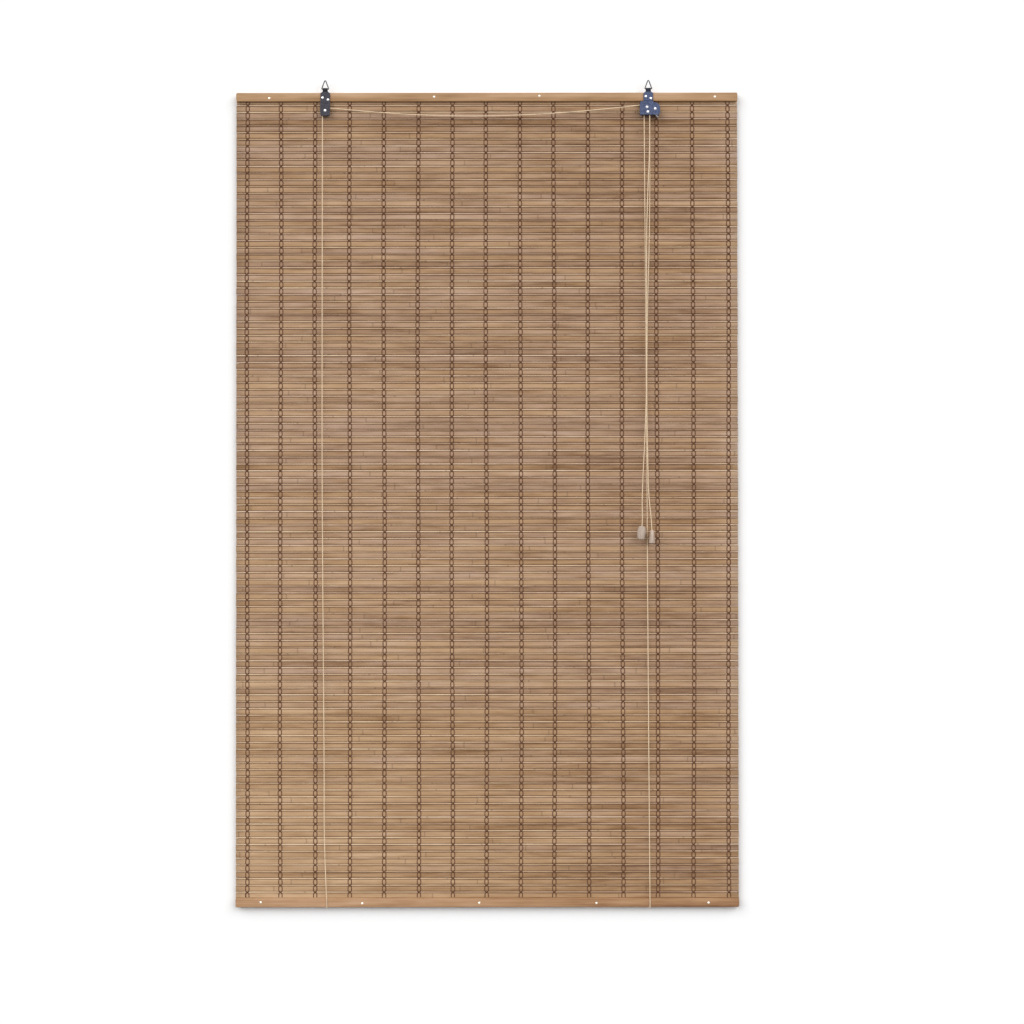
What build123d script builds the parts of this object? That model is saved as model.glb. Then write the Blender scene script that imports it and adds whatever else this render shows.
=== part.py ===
from build123d import *
import math
import os

os.makedirs("parts", exist_ok=True)

# A bamboo roll up blind, lowered. It hangs in the XZ plane and its front looks along -Y.
# The origin is the middle of the headrail's back face, so the wall is the plane y = 0.
# All sizes are millimetres.

# Mat of wide slats and thin sticks in turn
mat_width = 1000.0
slat_height = 9.6
slat_thickness = 2.0
stick_height = 2.4
stick_proud = 0.3
stick_count = 117
groove_height = 0.75
groove_depth = 0.6
gap_height = 0.76
gap_margin = 9.0
first_slat_tuck = 4.5
mat_top_inset = 1.8
mat_tongue = 13.4

# Warp threads, in pairs that run down both faces of the mat
thread_width = 1.2
thread_thickness = 0.6
thread_spread = 6.4
thread_column_shares = (
    -0.478, -0.4115, -0.3425, -0.2735, -0.205, -0.137, -0.0695, -0.0015,
    0.0672, 0.1342, 0.2017, 0.2695, 0.339, 0.411, 0.481,
)

# Rails: two battens each, nailed together over the ends of the mat
rail_height = 17.6
batten_thickness = 5.0
batten_round = 1.5
batten_end_round = 3.0
headrail_nail_shares = ((-0.434, -0.11), (-0.105, 0.03), (0.105, 0.12), (0.455, 0.03))
bottom_nail_shares = ((-0.450, 0.06), (-0.2485, -0.06), (-0.016, 0), (0.2165, -0.04), (0.439, 0))
nail_head_radius = 2.1
nail_head_height = 0.9
nail_shank_radius = 0.8
nail_bite = 3.5
nail_fit = 0.05

# Brackets: steel straps folded over the base of a wire ring
bracket_inset = 178.0
plate_thickness = 1.0
strap_gap = 0.1
strap_bend = 2.0
neck_width = 10.1
body_width = 18.9
shoulder_height = 3.0
shoulder_rise = 1.8
plate_corner = 2.0
left_foot_corner = 3.5
left_plate_drop = 38.0
left_jog_height = 7.0
strap_rivet_radius = 1.2
strap_rivet_head_radius = 2.5
strap_rivet_head_height = 1.2
strap_rivet_bite = 1.0
left_rivet_shares = ((-0.29, -0.074), (0.28, -0.307))
lock_rivet_shares = ((-0.26, 0.047), (0.27, -0.175))

# Hanging rings of round wire
ring_wire_radius = 1.1
ring_fit = 0.15
ring_rise = 6.6
ring_height = 19.7
ring_base = 14.3
ring_corner = 1.3
ring_apex = 1.6

# Sheaves and their riveted axles
cord_radius = 1.0
cord_clearance = 0.15
sheave_pitch_radius = 5.5
sheave_lip = 0.9
sheave_width = 3.6
sheave_side_play = 0.3
axle_radius = 1.5
axle_fit = 0.06
axle_head_radius = 2.6
axle_head_height = 1.3
axle_tail_radius = 2.4
axle_tail_height = 0.7
left_axle_drop = 27.6

# Cord lock in the right bracket
lock_sheave_shift = -3.0
lock_sheave_drop = 22.1
lock_post_radius = 2.7
lock_post_play = 0.3
lock_left_land = 14.1
lock_lobe = 9.6
lock_lobe_step = 3.0
lock_lobe_corner = 10.5
lock_shelf_corner = 4.5
lock_foot_corner = 5.0
lock_skirt = 5.7
lock_shelf_drop = 1.3
lock_jog_lead = 1.2
lock_jog_height = 4.2
lock_exit = 2.0
cam_radius = 9.35
cam_play = 0.35
cam_throw = 2.5
cam_axle_drop = 25.5
cam_back_trim = 0.9
cam_tooth_count = 9
cam_tooth_depth = 0.9
cam_tooth_span = 78.0
lever_width = 2.4
lever_knee_drop = 10.8
lever_knee_shift = 1.0
lever_tip_drop = 16.4
lever_tip_shift = 5.2

# Tassels of turned wood, oval at the top and round below
tassel_height = 26.5
tassel_top_width = 12.0
tassel_top_depth = 7.2
tassel_belly_width = 17.0
tassel_belly_depth = 9.6
tassel_foot_diameter = 12.0
tassel_belly_share = 0.42
tassel_round = 1.8
tassel_recess_radius = 3.4
tassel_recess_depth = 6.0
tassel_forward = 24.0
left_tassel_shift = -14.4
left_tassel_drop = 856.5
left_tassel_tilt = 5.5
right_tassel_shift = 5.2
right_tassel_drop = 864.0
knot_radius = 2.5
knot_height = 4.2
knot_round = 1.0

# Lift cords
cord_seat_gap = 0.2
sheave_lead = 3.0
left_cord_foot_shift = 3.7
right_cord_foot_shift = 0.8
cord_socket_depth = 6.0
cord_socket_fit = 0.1
rail_loop_rise = 6.0

# Cuts run past the solid by this much
overrun = 1.0

# Levels along Y, from the wall to the front
mat_back_y = -batten_thickness
mat_front_y = mat_back_y - slat_thickness
rail_front_y = mat_front_y - batten_thickness
strap_inner_y = rail_front_y - plate_thickness
strap_front_inner_y = strap_inner_y - strap_gap
strap_front_y = strap_front_inner_y - plate_thickness
rear_sheave_y = strap_inner_y - sheave_side_play - sheave_width / 2
front_sheave_y = rear_sheave_y - sheave_width - sheave_side_play
left_box_depth = sheave_width + 2 * sheave_side_play
lock_box_depth = 2 * sheave_width + 3 * sheave_side_play
left_plate_y = strap_inner_y - left_box_depth
lock_plate_y = strap_inner_y - lock_box_depth
tassel_y = -tassel_forward

# Levels along Z, from the headrail down
headrail_z = 0
headrail_top_z = headrail_z + rail_height / 2
headrail_foot_z = headrail_z - rail_height / 2
mat_top_z = headrail_top_z - mat_top_inset
first_slat_top_z = headrail_foot_z + first_slat_tuck
mat_pitch = slat_height + groove_height + stick_height + gap_height
bottom_rail_top_z = first_slat_top_z - stick_count * mat_pitch - slat_height
bottom_rail_z = bottom_rail_top_z - rail_height / 2
bottom_rail_foot_z = bottom_rail_z - rail_height / 2
mat_foot_z = bottom_rail_top_z - mat_tongue
first_gap_z = first_slat_top_z - mat_pitch + gap_height / 2
last_gap_z = first_gap_z - (stick_count - 1) * mat_pitch

# Bracket and sheave places
left_x = bracket_inset - mat_width / 2
lock_x = mat_width / 2 - bracket_inset
ring_pivot_z = headrail_top_z + ring_rise
fold_radius = ring_wire_radius + ring_fit
ring_pivot_y = strap_inner_y - fold_radius
left_axle_z = headrail_z - left_axle_drop
sheave_rim_radius = sheave_pitch_radius + sheave_lip
lock_sheave_x = lock_x + lock_sheave_shift
lock_sheave_z = headrail_z - lock_sheave_drop
lock_cord_x = lock_sheave_x + sheave_pitch_radius
post_x = lock_cord_x - cord_radius - cord_clearance - lock_post_radius
post_z = lock_sheave_z - sheave_rim_radius - lock_post_play - lock_post_radius
cam_x = lock_cord_x + cord_radius + cam_play + cam_radius
cam_z = headrail_z - cam_axle_drop
lock_foot_z = post_z - lock_skirt
lock_exit_z = lock_foot_z - lock_exit

# Nail and rivet places on the rails, as (x, z)
headrail_nails_at = [(u * mat_width, headrail_z + v * rail_height) for u, v in headrail_nail_shares]
bottom_nails_at = [(u * mat_width, bottom_rail_z + v * rail_height) for u, v in bottom_nail_shares]
left_rivets_at = [(left_x + u * body_width, headrail_z + v * rail_height) for u, v in left_rivet_shares]
lock_rivets_at = [(lock_x + u * body_width, headrail_z + v * rail_height) for u, v in lock_rivet_shares]
nail_hole_radius = nail_shank_radius + nail_fit
rivet_hole_radius = strap_rivet_radius + nail_fit


def save(piece, label):
    piece.part.label = label
    export_step(piece.part, f"parts/{label}.step")


def face_plane(y):
    """The upright plane at this depth, whose sketch coordinates are the part's own X and Z."""
    return Plane(origin=(0, y, 0), x_dir=(1, 0, 0), z_dir=(0, -1, 0))


# Mat: one wall, with a ridge for each stick and an open gap under it
def mat_side(face_y, outward):
    """One face of the mat from top to bottom: slat, V groove, stick ridge, and the next slat."""
    points = [(face_y, mat_top_z)]
    for row in range(stick_count):
        slat_foot = first_slat_top_z - row * mat_pitch - slat_height
        stick_top = slat_foot - groove_height
        stick_foot = stick_top - stick_height
        points += [
            (face_y, slat_foot),
            (face_y - outward * groove_depth, (slat_foot + stick_top) / 2),
            (face_y, stick_top),
            (face_y + outward * stick_proud, (stick_top + stick_foot) / 2),
            (face_y, stick_foot),
        ]
    points.append((face_y, mat_foot_z))
    return points


with BuildPart() as mat:
    with BuildSketch(Plane.YZ):
        with BuildLine():
            Polyline(*mat_side(mat_front_y, -1), *reversed(mat_side(mat_back_y, 1)), close=True)
        make_face()
    extrude(amount=mat_width / 2, both=True)
    with BuildSketch(face_plane(mat_front_y + slat_thickness / 2)):
        with Locations((0, (first_gap_z + last_gap_z) / 2)):
            with GridLocations(mat_pitch, mat_pitch, 1, stick_count):
                Rectangle(mat_width - 2 * gap_margin, gap_height)
        with Locations(*headrail_nails_at, *bottom_nails_at):
            Circle(nail_hole_radius)
        with Locations(*left_rivets_at, *lock_rivets_at):
            Circle(rivet_hole_radius)
    extrude(amount=slat_thickness, both=True, mode=Mode.SUBTRACT)
save(mat, "bamboo_mat")


# Warp threads: a pair in each column, lying on the crests of the sticks
def make_threads(label, crest_y, outward):
    thread_length = headrail_foot_z - bottom_rail_top_z
    thread_y = crest_y + outward * thread_thickness / 2
    thread_z = (headrail_foot_z + bottom_rail_top_z) / 2
    with BuildPart() as threads:
        for share in thread_column_shares:
            with Locations((share * mat_width, thread_y, thread_z)):
                with GridLocations(thread_spread, thread_spread, 2, 1):
                    Box(thread_width, thread_thickness, thread_length)
    save(threads, label)


make_threads("warp_threads_front", mat_front_y - stick_proud, -1)
make_threads("warp_threads_back", mat_back_y + stick_proud, 1)


# Battens
def make_front_batten(label, z, nails_at, rivets_at):
    with BuildPart() as batten:
        with Locations((0, (mat_front_y + rail_front_y) / 2, z)):
            Box(mat_width, batten_thickness, rail_height)
        fillet(batten.edges().filter_by(Axis.Y), batten_end_round)
        fillet(batten.faces().sort_by(Axis.Y)[0].edges(), batten_round)
        with BuildSketch(face_plane((mat_front_y + rail_front_y) / 2)):
            with Locations(*nails_at):
                Circle(nail_hole_radius)
            if rivets_at:
                with Locations(*rivets_at):
                    Circle(rivet_hole_radius)
        extrude(amount=batten_thickness, both=True, mode=Mode.SUBTRACT)
    save(batten, label)


def make_back_batten(label, z, nails_at, rivets_at, sockets_at):
    with BuildPart() as batten:
        with Locations((0, mat_back_y / 2, z)):
            Box(mat_width, batten_thickness, rail_height)
        fillet(batten.edges().filter_by(Axis.Y), batten_end_round)
        fillet(batten.faces().sort_by(Axis.Y)[-1].edges(), batten_round)
        with BuildSketch(face_plane(mat_back_y)):
            with Locations(*nails_at):
                Circle(nail_hole_radius)
        extrude(amount=-nail_bite, mode=Mode.SUBTRACT)
        if rivets_at:
            with BuildSketch(face_plane(mat_back_y)):
                with Locations(*rivets_at):
                    Circle(rivet_hole_radius)
            extrude(amount=-strap_rivet_bite, mode=Mode.SUBTRACT)
        if sockets_at:
            with BuildSketch(Plane.XY.offset(z - rail_height / 2)):
                with Locations(*[(x, mat_back_y / 2) for x in sockets_at]):
                    Circle(cord_radius + cord_socket_fit)
            extrude(amount=cord_socket_depth, mode=Mode.SUBTRACT)
    save(batten, label)


left_cord_top_x = left_x - sheave_pitch_radius
left_cord_foot_x = left_x + left_cord_foot_shift
right_cord_top_x = lock_sheave_x - sheave_pitch_radius
right_cord_foot_x = lock_x + right_cord_foot_shift
cord_sockets_x = (left_cord_foot_x, right_cord_foot_x)

make_front_batten("headrail_front_batten", headrail_z, headrail_nails_at, left_rivets_at + lock_rivets_at)
make_front_batten("bottom_rail_front_batten", bottom_rail_z, bottom_nails_at, [])
make_back_batten(
    "headrail_back_batten", headrail_z, headrail_nails_at, left_rivets_at + lock_rivets_at, cord_sockets_x
)
make_back_batten("bottom_rail_back_batten", bottom_rail_z, bottom_nails_at, [], [])


# Nails, strap rivets and axle rivets: a domed head, a shank and, on an axle, a flat tail
def make_rivets(label, places, face_y, head, shank_radius, shank_end_y, tail=None):
    head_radius, head_height = head
    with BuildPart() as rivets:
        for x, z in places:
            with BuildSketch(Plane(origin=(x, 0, z), x_dir=(1, 0, 0), z_dir=(0, 0, 1))):
                with BuildLine():
                    dome = TangentArc((0, face_y - head_height), (head_radius, face_y), tangent=(1, 0))
                    outline = [dome @ 1, (shank_radius, face_y), (shank_radius, shank_end_y)]
                    end_y = shank_end_y
                    if tail:
                        tail_radius, tail_height = tail
                        end_y = shank_end_y + tail_height
                        outline += [(tail_radius, shank_end_y), (tail_radius, end_y)]
                    Polyline(*outline, (0, end_y), dome @ 0)
                make_face()
            revolve(axis=Axis((x, 0, z), (0, 1, 0)))
    save(rivets, label)


nail_head = (nail_head_radius, nail_head_height)
nail_end_y = mat_back_y + nail_bite
make_rivets("headrail_nails", headrail_nails_at, rail_front_y, nail_head, nail_shank_radius, nail_end_y)
make_rivets("bottom_rail_nails", bottom_nails_at, rail_front_y, nail_head, nail_shank_radius, nail_end_y)

strap_rivet_head = (strap_rivet_head_radius, strap_rivet_head_height)
strap_rivet_end_y = mat_back_y + strap_rivet_bite
for label, places in (("left_bracket_rivets", left_rivets_at), ("lock_bracket_rivets", lock_rivets_at)):
    make_rivets(label, places, strap_front_y, strap_rivet_head, strap_rivet_radius, strap_rivet_end_y)

axle_head = (axle_head_radius, axle_head_height)
axle_tail = (axle_tail_radius, axle_tail_height)
axle_places = {
    "left_axle": ((left_x, left_axle_z), left_plate_y),
    "lock_sheave_axle": ((lock_sheave_x, lock_sheave_z), lock_plate_y),
    "lock_post_axle": ((post_x, post_z), lock_plate_y),
    "lock_cam_axle": ((cam_x, cam_z), lock_plate_y),
}
for label, (place, plate_y) in axle_places.items():
    make_rivets(label, [place], plate_y - plate_thickness, axle_head, axle_radius, rail_front_y, axle_tail)

# Bracket outlines, seen from the front: a neck, shoulders, and the body below them
neck_top_z = ring_pivot_z + fold_radius + plate_thickness + overrun
shoulder_top_z = headrail_top_z + shoulder_rise
shoulder_foot_z = shoulder_top_z - shoulder_height
neck_bend_z = ring_pivot_z - fold_radius
jog_top_z = headrail_foot_z - strap_gap
lock_jog_top_z = headrail_foot_z + lock_jog_lead
lock_shelf_z = headrail_foot_z - lock_shelf_drop
lock_lobe_z = lock_shelf_z - lock_lobe_step

left_corners = [plate_corner] * 4 + [left_foot_corner] * 2 + [plate_corner] * 2
with BuildSketch(face_plane(rail_front_y)) as left_outline:
    with BuildLine():
        FilletPolyline(
            (left_x - neck_width / 2, neck_top_z),
            (left_x + neck_width / 2, neck_top_z),
            (left_x + neck_width / 2, shoulder_top_z),
            (left_x + body_width / 2, shoulder_foot_z),
            (left_x + body_width / 2, headrail_z - left_plate_drop),
            (left_x - body_width / 2, headrail_z - left_plate_drop),
            (left_x - body_width / 2, shoulder_foot_z),
            (left_x - neck_width / 2, shoulder_top_z),
            radius=left_corners,
            close=True,
        )
    make_face()

lock_left_x = lock_sheave_x - lock_left_land
lock_right_x = cam_x + lock_lobe
lock_corners = [plate_corner, lock_shelf_corner] + [plate_corner] * 8 + [lock_lobe_corner, lock_foot_corner]
with BuildSketch(face_plane(rail_front_y)) as lock_outline:
    with BuildLine():
        FilletPolyline(
            (lock_left_x, lock_foot_z),
            (lock_left_x, lock_shelf_z),
            (lock_x - body_width / 2, lock_shelf_z),
            (lock_x - body_width / 2, shoulder_foot_z),
            (lock_x - neck_width / 2, shoulder_top_z),
            (lock_x - neck_width / 2, neck_top_z),
            (lock_x + neck_width / 2, neck_top_z),
            (lock_x + neck_width / 2, shoulder_top_z),
            (lock_x + body_width / 2, shoulder_foot_z),
            (lock_x + body_width / 2, lock_lobe_z),
            (lock_right_x, lock_lobe_z),
            (lock_right_x, lock_foot_z),
            radius=lock_corners,
            close=True,
        )
    make_face()


def strap_side(skin, plate_y, foot_z, jog_z, jog_height):
    """One side of the folded strap, from its rear foot to its front foot; skin is how far out it lies."""
    neck_y = strap_inner_y - 2 * fold_radius
    lean_in = math.atan2(strap_front_inner_y - neck_y, neck_bend_z - shoulder_top_z)
    lean_out = math.atan2(strap_front_inner_y - plate_y, jog_height)
    neck_slip = -skin * math.tan(lean_in / 2)
    jog_slip = skin * math.tan(lean_out / 2)
    rear = [(strap_inner_y + skin, foot_z), (strap_inner_y + skin, ring_pivot_z)]
    crown = (ring_pivot_y, ring_pivot_z + fold_radius + skin)
    front = [
        (neck_y - skin, ring_pivot_z),
        (neck_y - skin, neck_bend_z + neck_slip),
        (strap_front_inner_y - skin, shoulder_top_z + neck_slip),
        (strap_front_inner_y - skin, jog_z + jog_slip),
        (plate_y - skin, jog_z - jog_height + jog_slip),
        (plate_y - skin, foot_z),
    ]
    wide, tight = strap_bend + skin, strap_bend + plate_thickness - skin
    return rear, crown, front, (wide, tight, tight, wide)


def make_bracket(label, outline, center_x, plate_y, foot_z, jog_z, jog_height, rivets_at, axles_at):
    """A strap that runs up behind, over the ring's base bar, down flat, and out in front of the sheaves."""
    reach = lock_right_x - lock_left_x
    sides = [strap_side(skin, plate_y, foot_z, jog_z, jog_height) for skin in (0, plate_thickness)]
    with BuildPart() as bracket:
        with BuildSketch(Plane.YZ.offset(center_x)):
            with BuildLine():
                for rear, crown, front, bends in sides:
                    Line(*rear)
                    ThreePointArc(rear[-1], crown, front[0])
                    FilletPolyline(*front, radius=bends)
                Line(sides[0][0][0], sides[1][0][0])
                Line(sides[0][2][-1], sides[1][2][-1])
            make_face()
        extrude(amount=reach, both=True)
        extrude(outline.sketch, amount=reach, both=True, mode=Mode.INTERSECT)
        with BuildSketch(face_plane(rail_front_y)):
            with Locations(*rivets_at):
                Circle(rivet_hole_radius)
            with Locations(*axles_at):
                Circle(axle_radius + axle_fit)
        extrude(amount=reach, both=True, mode=Mode.SUBTRACT)
    save(bracket, label)


make_bracket(
    "left_bracket", left_outline, left_x, left_plate_y, headrail_z - left_plate_drop,
    jog_top_z, left_jog_height, left_rivets_at, [(left_x, left_axle_z)],
)
make_bracket(
    "lock_bracket", lock_outline, lock_x, lock_plate_y, lock_foot_z,
    lock_jog_top_z, lock_jog_height, lock_rivets_at,
    [(lock_sheave_x, lock_sheave_z), (post_x, post_z), (cam_x, cam_z)],
)


# Hanging rings: a rounded triangle of wire, its base bar held in the strap's fold
def make_ring(label, center_x):
    with BuildPart() as ring:
        with BuildLine(face_plane(ring_pivot_y)) as loop:
            FilletPolyline(
                (center_x - ring_base / 2, ring_pivot_z),
                (center_x + ring_base / 2, ring_pivot_z),
                (center_x, ring_pivot_z + ring_height),
                radius=(ring_corner, ring_corner, ring_apex),
                close=True,
            )
        with BuildSketch(Plane(origin=loop.line @ 0, z_dir=loop.line % 0)):
            Circle(ring_wire_radius)
        sweep(path=loop.wires()[0])
    save(ring, label)


make_ring("left_ring", left_x)
make_ring("right_ring", lock_x)


# Sheaves: grooved wheels, each turning on its axle
def make_sheave(label, x, y, z):
    bore_radius = axle_radius + axle_fit
    groove_radius = cord_radius + cord_clearance
    with BuildPart() as sheave:
        with BuildSketch(Plane(origin=(x, y, z), x_dir=(1, 0, 0), z_dir=(0, 0, 1))):
            with Locations(((bore_radius + sheave_rim_radius) / 2, 0)):
                Rectangle(sheave_rim_radius - bore_radius, sheave_width)
            with Locations((sheave_pitch_radius, 0)):
                Circle(groove_radius, mode=Mode.SUBTRACT)
            with Locations((sheave_pitch_radius + sheave_lip, 0)):
                Rectangle(2 * sheave_lip, 2 * groove_radius, mode=Mode.SUBTRACT)
        revolve(axis=Axis((x, y, z), (0, 1, 0)))
    save(sheave, label)


make_sheave("left_sheave", left_x, rear_sheave_y, left_axle_z)
make_sheave("lock_rear_sheave", lock_sheave_x, rear_sheave_y, lock_sheave_z)
make_sheave("lock_front_sheave", lock_sheave_x, front_sheave_y, lock_sheave_z)

# Cord lock: a fixed post on one side of the pull cords, and a toothed eccentric cam on the other
with BuildPart() as post:
    with BuildSketch(face_plane(strap_inner_y)):
        with Locations((post_x, post_z)):
            Circle(lock_post_radius)
            Circle(axle_radius + axle_fit, mode=Mode.SUBTRACT)
    extrude(amount=lock_box_depth)
save(post, "lock_post")

disc_z = cam_z - cam_throw
lever_root = Vector(cam_x, cam_z)
lever_knee = Vector(cam_x + lever_knee_shift, cam_z - lever_knee_drop)
lever_tip = Vector(cam_x + lever_tip_shift, cam_z - lever_tip_drop)
with BuildPart() as cam:
    with BuildSketch(face_plane(strap_inner_y - sheave_side_play)):
        with Locations((cam_x, disc_z)):
            Circle(cam_radius)
            with PolarLocations(
                cam_radius,
                cam_tooth_count,
                start_angle=180 - cam_tooth_span / 2,
                angular_range=cam_tooth_span,
                endpoint=True,
            ):
                RegularPolygon(cam_tooth_depth, side_count=3, rotation=180, mode=Mode.SUBTRACT)
        with Locations((cam_x + 2 * cam_radius - cam_back_trim, disc_z)):
            Rectangle(2 * cam_radius, 2 * cam_radius, mode=Mode.SUBTRACT)
        for start, end in ((lever_root, lever_knee), (lever_knee, lever_tip)):
            SlotCenterPoint((start + end) / 2, end, lever_width)
        with Locations((cam_x, cam_z)):
            Circle(axle_radius + axle_fit, mode=Mode.SUBTRACT)
    extrude(amount=lock_box_depth - 2 * sheave_side_play)
save(cam, "lock_cam")

# Tassels, each with a bore for its cord and a recess below that hides the knot
left_axis = Vector(math.sin(math.radians(left_tassel_tilt)), 0, math.cos(math.radians(left_tassel_tilt)))
right_axis = Vector(0, 0, 1)
left_tassel_top = Vector(lock_x + left_tassel_shift, tassel_y, headrail_z - left_tassel_drop)
right_tassel_top = Vector(lock_x + right_tassel_shift, tassel_y, headrail_z - right_tassel_drop)
tassel_bore_radius = cord_radius + cord_clearance
knot_depth = tassel_height - tassel_recess_depth


def make_tassel(label, top, axis, broad_side):
    plane = Plane(origin=top, x_dir=broad_side, z_dir=axis)
    foot_plane = plane.offset(-tassel_height)
    with BuildPart() as tassel:
        with BuildSketch(plane):
            Ellipse(tassel_top_width / 2, tassel_top_depth / 2)
        with BuildSketch(plane.offset(-tassel_belly_share * tassel_height)):
            Ellipse(tassel_belly_width / 2, tassel_belly_depth / 2)
        with BuildSketch(foot_plane):
            Circle(tassel_foot_diameter / 2)
        loft()
        rims = tassel.faces().filter_by(GeomType.PLANE).edges()
        fillet(rims, tassel_round)
        with BuildSketch(plane):
            Circle(tassel_bore_radius)
        extrude(amount=-tassel_height, mode=Mode.SUBTRACT)
        with BuildSketch(foot_plane):
            Circle(tassel_recess_radius)
        extrude(amount=tassel_recess_depth, mode=Mode.SUBTRACT)
    save(tassel, label)
    with BuildPart() as knot:
        with BuildSketch(plane.offset(-knot_depth)):
            Circle(knot_radius)
        extrude(amount=-knot_height)
        fillet(knot.edges().filter_by(GeomType.CIRCLE), knot_round)
    save(knot, f"{label}_knot")


make_tassel("left_tassel", left_tassel_top, left_axis, (math.cos(math.radians(left_tassel_tilt)), 0, 0))
make_tassel("right_tassel", right_tassel_top, right_axis, (0, 1, 0))


# Cords: round tubes along straight runs and tangent arcs
def route_radii(points):
    """As large an arc at each inner point as its two runs allow."""
    run_share = 0.45
    radii = []
    for before, here, after in zip(points, points[1:], points[2:]):
        run_in, run_out = Vector(here) - Vector(before), Vector(after) - Vector(here)
        half_turn = math.radians(run_in.get_angle(run_out)) / 2
        radii.append(run_share * min(run_in.length, run_out.length) / math.tan(half_turn))
    return radii


def make_cord(label, points, radii=()):
    with BuildPart() as cord:
        with BuildLine() as route:
            if radii:
                FilletPolyline(*points, radius=radii)
            else:
                Line(*points)
        with BuildSketch(Plane(origin=route.line @ 0, z_dir=route.line % 0)):
            Circle(cord_radius)
        sweep(path=route.wires()[0])
    save(cord, label)
    length = route.wires()[0].length
    share = cord.part.volume / (math.pi * cord_radius**2 * length)
    print(label, "length", round(length, 1), "volume share", round(share, 5), [round(r, 1) for r in radii])


cord_front_y = rail_front_y - cord_radius - cord_seat_gap
cord_back_y = cord_radius + cord_seat_gap
loop_top_z = bottom_rail_foot_z + rail_loop_rise
loop_foot_z = bottom_rail_foot_z - cord_radius - cord_seat_gap
loop_radius = batten_round + cord_radius + cord_seat_gap
socket_end_z = headrail_foot_z + cord_socket_depth - cord_seat_gap

lift_cords = {
    "left": (left_cord_top_x, left_axle_z, left_cord_foot_x),
    "right": (right_cord_top_x, lock_sheave_z, right_cord_foot_x),
}
for side, (top_x, top_z, foot_x) in lift_cords.items():
    lift_top = (top_x, rear_sheave_y, top_z - sheave_lead)
    make_cord(f"{side}_lift_cord", [lift_top, (foot_x, cord_front_y, loop_top_z)])
    make_cord(
        f"{side}_rail_loop",
        [
            (foot_x, cord_front_y, loop_top_z),
            (foot_x, cord_front_y, loop_foot_z),
            (foot_x, cord_back_y, loop_foot_z),
            (foot_x, cord_back_y, loop_top_z),
        ],
        [loop_radius, loop_radius],
    )
    socket_end = (foot_x, mat_back_y / 2, socket_end_z)
    make_cord(f"{side}_back_cord", [(foot_x, cord_back_y, loop_top_z), socket_end])

# The cross cord goes over the left sheave, sags between the brackets, and goes over the lock's front sheave
sag_shares = (
    (0.0805, -15.4, -26.6), (0.1672, -15.7, -31.6), (0.2539, -16.1, -35.5), (0.3406, -16.5, -38.1),
    (0.4272, -16.9, -39.4), (0.5139, -17.3, -39.2), (0.6006, -17.7, -37.7), (0.6873, -18.1, -34.9),
    (0.7740, -18.5, -31.0), (0.8607, -18.9, -26.0), (0.9350, front_sheave_y, -21.2),
)
sag_route = [(left_x + share * (lock_x - left_x), y, z) for share, y, z in sag_shares]


def over_sheave_z(sheave_x, sheave_z, next_point):
    """Height of the corner where a run to next_point meets the sheave's upright tangent."""
    slope = (sheave_z + sheave_pitch_radius - next_point[2]) / abs(next_point[0] - sheave_x)
    return sheave_z + sheave_pitch_radius * (slope + math.sqrt(1 + slope**2))


cross_route = [
    (left_cord_top_x, rear_sheave_y, left_axle_z - sheave_lead),
    (left_cord_top_x, rear_sheave_y, over_sheave_z(left_x, left_axle_z, sag_route[0])),
    *sag_route,
    (lock_cord_x, front_sheave_y, over_sheave_z(lock_sheave_x, lock_sheave_z, sag_route[-1])),
    (lock_cord_x, front_sheave_y, lock_exit_z),
]
sag_radii = route_radii(cross_route[1:-1])
make_cord("cross_cord", cross_route, [sheave_pitch_radius, *sag_radii, sheave_pitch_radius])

# The right lift cord goes over the lock's rear sheave
with BuildPart() as lock_cord:
    with BuildLine(face_plane(rear_sheave_y)) as route:
        rise = Line((right_cord_top_x, lock_sheave_z - sheave_lead), (right_cord_top_x, lock_sheave_z))
        turn = ThreePointArc(
            rise @ 1,
            (lock_sheave_x, lock_sheave_z + sheave_pitch_radius),
            (lock_cord_x, lock_sheave_z),
        )
        Line(turn @ 1, (lock_cord_x, lock_exit_z))
    with BuildSketch(Plane(origin=rise @ 0, z_dir=rise % 0)):
        Circle(cord_radius)
    sweep(path=route.wires()[0])
save(lock_cord, "right_lock_cord")

# Pull cords, from the lock down to the tassels, crossing in front of the right lift cord
left_pull_offsets = (
    (0.1, -19.3, -100), (-2.5, -19.7, -180), (-5.9, -20.2, -270), (-8.0, -20.7, -370), (-8.9, -21.3, -480),
    (-9.3, -21.9, -590), (-12.0, -22.6, -680), (-15.6, -23.3, -755), (-17.1, -23.8, -810),
)
right_pull_offsets = (
    (0.4, -15.9, -105), (-0.1, -16.9, -200), (-1.3, -17.9, -290), (-3.3, -18.9, -375), (-5.0, -19.8, -460),
    (-5.8, -20.7, -555), (-5.9, -21.6, -645), (-4.9, -22.5, -725), (-3.0, -23.4, -795),
)
left_pull_route = [
    (lock_cord_x, front_sheave_y, lock_exit_z),
    *[(lock_cord_x + offset, y, z) for offset, y, z in left_pull_offsets],
    tuple(left_tassel_top + left_axis * tassel_height / 2),
    tuple(left_tassel_top - left_axis * knot_depth),
]
right_pull_route = [
    (lock_cord_x, rear_sheave_y, lock_exit_z),
    *[(lock_cord_x + offset, y, z) for offset, y, z in right_pull_offsets],
    tuple(right_tassel_top + right_axis * tassel_height / 2),
    tuple(right_tassel_top - right_axis * knot_depth),
]
make_cord("left_pull_cord", left_pull_route, route_radii(left_pull_route))
make_cord("right_pull_cord", right_pull_route, route_radii(right_pull_route))
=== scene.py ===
import math

import bpy
import numpy as np
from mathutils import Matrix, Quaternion, Vector


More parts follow.
